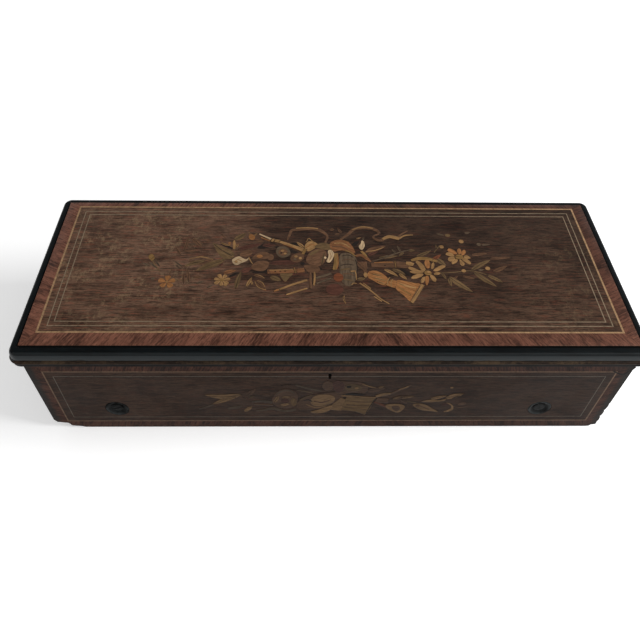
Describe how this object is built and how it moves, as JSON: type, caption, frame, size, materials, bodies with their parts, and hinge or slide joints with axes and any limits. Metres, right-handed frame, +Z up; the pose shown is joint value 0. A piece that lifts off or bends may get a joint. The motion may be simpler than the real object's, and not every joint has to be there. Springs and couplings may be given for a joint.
{
  "type": "inlaid music box",
  "caption": "Long low wooden music box with an inlaid hinged lid, a glass inner lid and a lever wound cylinder and comb movement.",
  "frame": {"origin": "on the floor under the middle of the whole box, hinge knuckles included", "axes": "+X to the box's right seen from the front, +Y to the back, +Z up"},
  "size_m": [0.66, 0.2538, 0.15],
  "materials": {
    "pine": "bare and aged",
    "case_wood": "stained and varnished",
    "rosewood_front": "polished veneer with inlay",
    "rosewood_lid": "worn polish on veneer with inlay",
    "ebonised_wood": "ebonised satin",
    "brass": "lacquered, aged",
    "cylinder_brass": "matt, pinned",
    "steel": "brushed",
    "comb_steel": "ground bright",
    "blued_steel": "dark tempered",
    "dark_metal": "dark tarnished brass cup",
    "bedplate_iron": "bronze painted",
    "glass": "clear",
    "card": "aged card"
  },
  "bodies": {
    "case": {"bottom_board": "pine", "front_wall": "case_wood", "back_wall": "case_wood", "left_wall": "case_wood", "right_wall": "case_wood", "front_veneer": "rosewood_front", "left_partition": "ebonised_wood", "right_partition": "ebonised_wood", "lock_body": "brass", "cup_washer_left": "dark_metal", "cup_washer_right": "dark_metal", "case_screw_front_left": "blued_steel", "case_screw_front_right": "blued_steel", "case_screw_back_left": "blued_steel", "case_screw_back_right": "blued_steel", "hinge_case_leaf_left": "brass", "hinge_case_leaf_right": "brass", "bedplate": "bedplate_iron", "cylinder_bearing_left": "brass", "cylinder_bearing_right": "brass", "barrel_bridge_left": "brass", "barrel_bridge_right": "brass", "click_bridge": "brass", "comb_base": "brass", "comb": "comb_steel", "governor_frame": "brass", "governor_cock": "brass"},
    "lid": {"lid_panel": "case_wood", "lid_veneer": "rosewood_lid", "lid_moulding_front": "ebonised_wood", "lid_moulding_right": "ebonised_wood", "lid_moulding_back": "ebonised_wood", "lid_moulding_left": "ebonised_wood", "tune_card": "card", "lock_strike": "brass", "hinge_lid_leaf_left": "brass", "hinge_lid_leaf_right": "brass"},
    "glass_lid": {"glass_frame_front": "ebonised_wood", "glass_frame_back": "ebonised_wood", "glass_frame_left": "ebonised_wood", "glass_frame_right": "ebonised_wood", "glass_pane": "glass"},
    "lock_bolt": {"lock_bolt": "steel"},
    "barrel": {"spring_barrel": "brass", "barrel_cap": "brass", "mainspring": "blued_steel"},
    "winding_arbor": {"barrel_arbor": "steel", "ratchet_wheel": "steel"},
    "winding_lever": {"winding_lever": "steel", "lever_grip": "ebonised_wood"},
    "lever_pawl": {"lever_pawl": "blued_steel"},
    "click": {"click": "blued_steel"},
    "cylinder_train": {"cylinder_arbor": "steel", "cylinder_wheel": "brass"},
    "music_cylinder": {"music_cylinder": "cylinder_brass"},
    "governor_first": {"governor_first_wheel": "brass"},
    "governor_second": {"governor_second_wheel": "brass"},
    "fan": {"governor_fan": "steel"},
    "start_lever": {"start_lever": "brass"},
    "change_lever": {"change_lever": "brass"}
  },
  "joints": [
    {"name": "lid_hinge", "type": "hinge", "parent": "case", "child": "lid", "pos_m": [0, 0.1244, 0.12785], "axis": [-1, 0, 0], "range_deg": [0, 95]},
    {"name": "glass_lid_hinge", "type": "hinge", "parent": "case", "child": "glass_lid", "pos_m": [0, 0.1066, 0.1235], "axis": [-1, 0, 0], "range_deg": [0, 85.5]},
    {"name": "lock_bolt_throw", "type": "slide", "parent": "case", "child": "lock_bolt", "axis": [1, 0, 0], "range_m": [0, 0.006]},
    {"name": "lever_swing", "type": "hinge", "parent": "case", "child": "winding_lever", "pos_m": [-0.2795, 0.0402, 0.08], "axis": [-1, 0, 0], "range_deg": [0, 45]},
    {"name": "arbor_wind", "type": "hinge", "parent": "case", "child": "winding_arbor", "pos_m": [-0.266, 0.0402, 0.08], "axis": [-1, 0, 0], "range_deg": [0, 45]},
    {"name": "pawl_rock", "type": "hinge", "parent": "winding_lever", "child": "lever_pawl", "pos_m": [-0.2657, 0.01643, 0.07227], "axis": [-1, 0, 0], "range_deg": [-15, 0]},
    {"name": "click_rock", "type": "hinge", "parent": "case", "child": "click", "pos_m": [-0.2657, 0.03672, 0.10476], "axis": [-1, 0, 0], "range_deg": [-15, 0]},
    {"name": "cylinder_spin", "type": "hinge", "parent": "case", "child": "cylinder_train", "pos_m": [-0.116, 0.005, 0.088], "axis": [-1, 0, 0], "continuous": true},
    {"name": "cylinder_shift", "type": "slide", "parent": "cylinder_train", "child": "music_cylinder", "axis": [1, 0, 0], "range_m": [0, 0.0028]},
    {"name": "barrel_spin", "type": "hinge", "parent": "case", "child": "barrel", "pos_m": [-0.204, 0.0402, 0.08], "axis": [-1, 0, 0], "continuous": true},
    {"name": "governor_first_spin", "type": "hinge", "parent": "case", "child": "governor_first", "pos_m": [0.206, 0.0361, 0.07668], "axis": [-1, 0, 0], "continuous": true},
    {"name": "governor_second_spin", "type": "hinge", "parent": "case", "child": "governor_second", "pos_m": [0.216, 0.05613, 0.07843], "axis": [-1, 0, 0], "continuous": true},
    {"name": "fan_spin", "type": "hinge", "parent": "case", "child": "fan", "pos_m": [0.21725, 0.07173, 0.07136], "axis": [0, 0, 1], "continuous": true},
    {"name": "start_lever_swing", "type": "hinge", "parent": "case", "child": "start_lever", "pos_m": [0.238, -0.048, 0.05], "axis": [0, 0, 1], "range_deg": [0, 12]},
    {"name": "change_lever_swing", "type": "hinge", "parent": "case", "child": "change_lever", "pos_m": [0.238, -0.012, 0.05], "axis": [0, 0, 1], "range_deg": [0, 12]}
  ],
  "couplings": [
    {"joint": "glass_lid_hinge", "follows": "lid_hinge", "ratio": 0.9},
    {"joint": "arbor_wind", "follows": "lever_swing", "ratio": 1},
    {"joint": "barrel_spin", "follows": "cylinder_spin", "ratio": -0.2},
    {"joint": "governor_first_spin", "follows": "cylinder_spin", "ratio": -4.5},
    {"joint": "governor_second_spin", "follows": "cylinder_spin", "ratio": 18},
    {"joint": "fan_spin", "follows": "cylinder_spin", "ratio": 432}
  ]
}
